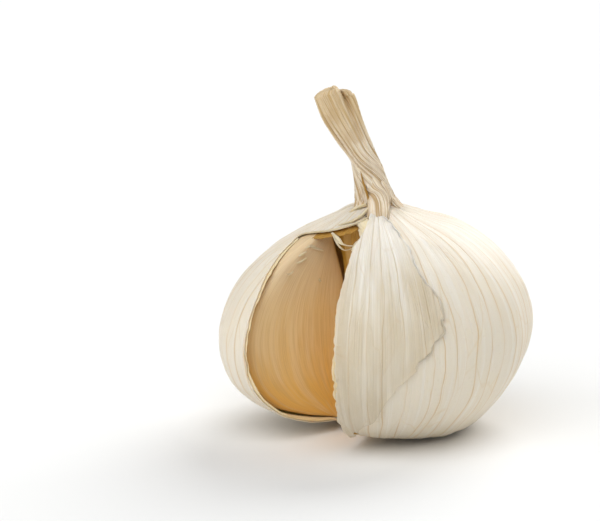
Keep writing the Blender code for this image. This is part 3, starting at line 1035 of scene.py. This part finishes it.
# A dark strand, painted shade in the slit between the left fold and the front fold
STEM_SLIT = np.array((
    (-0.0031, -0.0014, 0.0512, 0.0001, 0.0003, 90.0, 0.0),
    (-0.0026, -0.0023, 0.0492, 0.00016, 0.0004, 90.0, 0.0),
    (-0.0018, -0.0030, 0.0468, 0.00020, 0.0004, 90.0, 0.0),
    (-0.0013, -0.0038, 0.0448, 0.00026, 0.0004, 90.0, 0.0),
    (-0.0014, -0.0050, 0.0438, 0.0002, 0.0003, 90.0, 0.0),
))
# Where the cleft lies round the core, as the cosine of the angle from its width, and how wide it is
STEM_CLEFT_PLACE = 0.45
STEM_CLEFT_WIDTH = 0.16
STEM_NOTCH_WIDTH = 0.14
STEM_NOTCH_DEPTH = 0.0016
# How far the crown falls on its right side, and all round
STEM_CROWN_FALL = 0.0019
STEM_CROWN_TRIM = 0.0004
STEM_TWIST = 1.0
STEM_ROWS = 170
STEM_COLUMNS = 240
# Rings over the cut end: how far each shrinks towards the middle, and how high it stands
STEM_CUT_RINGS = (
    (0.05, 0.0002),
    (0.14, 0.0005),
    (0.28, 0.0006),
    (0.50, 0.0004),
    (0.75, 0.0002),
    (0.95, 0.0001),
)
# Lengthwise folds round a strand, broad and fine
BROAD_FOLDS = 19
FINE_FOLDS = 47
STRAND_TWIST = 0.6
STRAND_UV_SIZE = (14.0, 16.0)
STEM_UV_SIZE = (20.0, 30.0)
# How far each ring over a strand's first and last end shrinks
STRAND_FIRST_END = (0.9, 0.5)
STRAND_LAST_END = (0.35, 0.7, 0.95)


def noise_round(turn, count, up, seed):
    """Noise that closes on itself after a full turn, with count cells round it."""
    share = turn / (2.0 * np.pi) % 1.0
    seam = ease(0.94, 1.0, share)
    return mix(noise(share * count, up, seed), noise(share * count - count, up, seed), seam)


def twisted(up, twist):
    """How far a strand has turned at a share of its length: steadily, and quickest below its middle."""
    return twist * up + 1.6 * twist * ease(0.25, 0.60, up)


def strand_rings(stations, rows, columns, pleat, seed, twist=STRAND_TWIST):
    """Rings square to a path through the stations, pleated lengthwise."""
    values = curve_through(stations, np.linspace(0.0, len(stations) - 1.0, rows))
    middle = values[:, None, :3]
    wide_half, thick_half = values[:, 3, None, None], values[:, 4, None, None]
    turn, cleft = np.radians(values[:, 5]), values[:, 6, None]
    heading = np.gradient(values[:, :3], axis=0)
    heading /= np.linalg.norm(heading, axis=1, keepdims=True)
    wide = np.stack((np.sin(turn), -np.cos(turn), np.zeros(rows)), axis=-1)
    wide -= heading * np.sum(heading * wide, axis=1, keepdims=True)
    wide /= np.linalg.norm(wide, axis=1, keepdims=True)
    thick = np.cross(heading, wide)

    around = np.linspace(0.0, 2.0 * np.pi, columns, endpoint=False)[None, :]
    up = np.linspace(0.0, 1.0, rows)[:, None]
    turned = around + twisted(up, twist)
    folds = 1.5 - 2.2 * np.abs(noise_round(turned, BROAD_FOLDS, up * 1.5, seed))
    folds = folds - 1.1 * np.abs(noise_round(turned, FINE_FOLDS, up * 2.5, seed + 1))
    swell = 1.0 + pleat * folds
    pinch = 1.0 - cleft * bump(STEM_CLEFT_PLACE, STEM_CLEFT_WIDTH, np.cos(around))
    across = (np.cos(around) * swell)[..., None] * wide[:, None, :] * wide_half
    through = (np.sin(around) * swell * pinch)[..., None] * thick[:, None, :] * thick_half
    return middle + across + through


def strand_uvs(rows, columns, size, twist=STRAND_TWIST):
    """Texture coordinates round and along a strand, which turn with its folds."""
    girth, length = size
    up = np.linspace(0.0, 1.0, rows)[:, None]
    u = girth * (np.linspace(0.0, 1.0, columns)[None, :] + twisted(up, twist) / (2.0 * np.pi))
    return np.stack(np.broadcast_arrays(u, length * up), axis=-1)


def add_strand(name, stations, material, seed, pleat=0.12, rows=70, columns=64):
    """A closed pleated strand through the stations, rounded off at both ends."""
    rings = strand_rings(stations, rows, columns, pleat, seed)
    first_end = [shrunk(rings[0], share) for share in STRAND_FIRST_END]
    last_end = [shrunk(rings[-1], share) for share in STRAND_LAST_END]
    points = np.stack((*first_end, *rings, *last_end))
    tube(name, points, strand_uvs(len(points), columns, STRAND_UV_SIZE), material)


def add_stem_core(material):
    """The stalk's core, with a notched crown round its hollow cut end."""
    rings = strand_rings(STEM_CORE, STEM_ROWS, STEM_COLUMNS, 0.10, 121, STEM_TWIST)
    top = rings[-1].mean(axis=0)
    around = np.linspace(0.0, 2.0 * np.pi, STEM_COLUMNS, endpoint=False)
    side = np.cos(around)
    crown = 0.0001 * bump(-0.3, 0.6, side) - STEM_CROWN_FALL * ease(0.35, 0.8, side) - STEM_CROWN_TRIM
    crown = crown + 0.00008 * rough(around * 6.0, 0.5, 131)
    crown = crown - STEM_NOTCH_DEPTH * bump(STEM_CLEFT_PLACE, STEM_NOTCH_WIDTH, side)
    rings[..., 2] += np.linspace(0.0, 1.0, STEM_ROWS)[:, None] ** 12 * crown[None, :]
    cut_end = []
    for share, height in STEM_CUT_RINGS:
        ring = mix(rings[-1], top, share)
        ring[:, 2] += height + 0.00012 * rough(around * 8.0, share * 6.0, 135)
        cut_end.append(ring)
    points = np.stack((*rings, *cut_end))
    uvs = strand_uvs(len(points), STEM_COLUMNS, STEM_UV_SIZE, STEM_TWIST)
    tube("stem_core", points, uvs, material, "stem")


def add_stem(material, slit_shade_material):
    """The stalk: a pleated core, a dark strand painted as the shade in its slit, and the folds that spread
    at its foot.
    """
    add_stem_core(material)
    add_strand("stem_slit_painted_shade", STEM_SLIT, slit_shade_material, 131)
    add_strand("stem_front_fold", STEM_FRONT_FOLD, material, 141, pleat=0.09)
    add_strand("stem_left_fold", STEM_LEFT_FOLD, material, 151)
    add_strand("stem_right_fold", STEM_RIGHT_FOLD, material, 161)
    add_strand("stem_back_fold", STEM_BACK_FOLD, material, 171)


# Surroundings ---------------------------------------------


def add_floor():
    """A plain pale floor."""
    mesh = bpy.data.meshes.new("floor")
    half = FLOOR_SIZE / 2.0
    corners = [(-half, -half, 0.0), (half, -half, 0.0), (half, half, 0.0), (-half, half, 0.0)]
    mesh.from_pydata(corners, [], [(0, 1, 2, 3)])
    material = bpy.data.materials.new("pale_floor")
    material.use_nodes = True
    shader = material.node_tree.nodes["Principled BSDF"]
    shader.inputs["Base Color"].default_value = (*FLOOR_COLOUR, 1.0)
    shader.inputs["Roughness"].default_value = 0.9
    shader.inputs["Specular IOR Level"].default_value = 0.0
    mesh.materials.append(material)
    floor = bpy.data.objects.new("floor", mesh)
    bpy.context.scene.collection.objects.link(floor)


def add_lights():
    """A white world and soft studio lights."""
    world = bpy.data.worlds.new("soft_white")
    world.use_nodes = True
    background = world.node_tree.nodes["Background"]
    background.inputs["Color"].default_value = (1.0, 1.0, 1.0, 1.0)
    seen = node(world.node_tree, "LightPath", {}).outputs["Is Camera Ray"]
    brightness = rise(world.node_tree, seen, 0.0, 1.0, WORLD_LIGHT, WORLD_SHOWN)
    world.node_tree.links.new(brightness, background.inputs["Strength"])
    bpy.context.scene.world = world
    for name, direction, width, strength in LIGHTS:
        data = bpy.data.lights.new(name, "SUN")
        data.angle = math.radians(width)
        data.energy = strength
        light = bpy.data.objects.new(name, data)
        light.rotation_euler = Vector(direction).to_track_quat("Z", "Y").to_euler()
        bpy.context.scene.collection.objects.link(light)


def add_camera():
    """The camera in front of the bulb, looking a little down on it."""
    elevation = math.radians(CAMERA_ELEVATION)
    back = Vector((0.0, -math.cos(elevation), math.sin(elevation)))
    data = bpy.data.cameras.new("camera")
    data.lens = CAMERA_LENS
    data.clip_start = 0.01
    data.clip_end = 50.0
    camera = bpy.data.objects.new("camera", data)
    camera.location = CAMERA_AIM + back * CAMERA_DISTANCE
    camera.rotation_euler = (-back).to_track_quat("-Z", "Y").to_euler()
    bpy.context.scene.collection.objects.link(camera)
    bpy.context.scene.camera = camera


def dress_cad_pieces(clove, root):
    """Gives the CAD pieces that stay their detailed material."""
    for number in range(1, len(CLOVE_EDGES)):
        if number not in SHOWN_CLOVES:
            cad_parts[f"clove_{number}"].data.materials[0] = clove
    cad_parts["root_plate"].data.materials[0] = root


def main():
    bpy.context.scene.view_settings.view_transform = "Standard"
    add_camera()
    add_lights()
    add_floor()
    paper = paper_material("wrapper_paper", PAPER_COLOURS, 0.85, 3.7, white_strength=0.35)
    white_paper = paper_material("outer_paper", WHITE_COLOURS, 0.65, 3.1, 0.28, neck_painted_light=0.75)
    rim_paper = paper_material("rim_paper", RIM_COLOURS, 0.3, 4.0)
    amber = paper_material("amber_shade_and_speck_paper", AMBER_SHADE_AND_SPECK_COLOURS, 0.4, 4.0)
    clove = clove_material()
    add_wrapper(paper)
    add_outer_skin(white_paper)
    add_inner_skin(rim_paper)
    add_front_rim(rim_paper)
    add_side_rim(white_paper)
    add_roof_layer(amber)
    add_shreds(SHREDS, rim_paper, 241)
    add_shreds(FOOT_SPECK, amber, 291)
    add_core_sheath(painted_glow_film_material())
    add_flank_marks(rim_paper)
    for number in SHOWN_CLOVES:
        add_clove(number, clove)
    add_stem(stem_material(), amber)
    dress_cad_pieces(clove, root_material())


main()
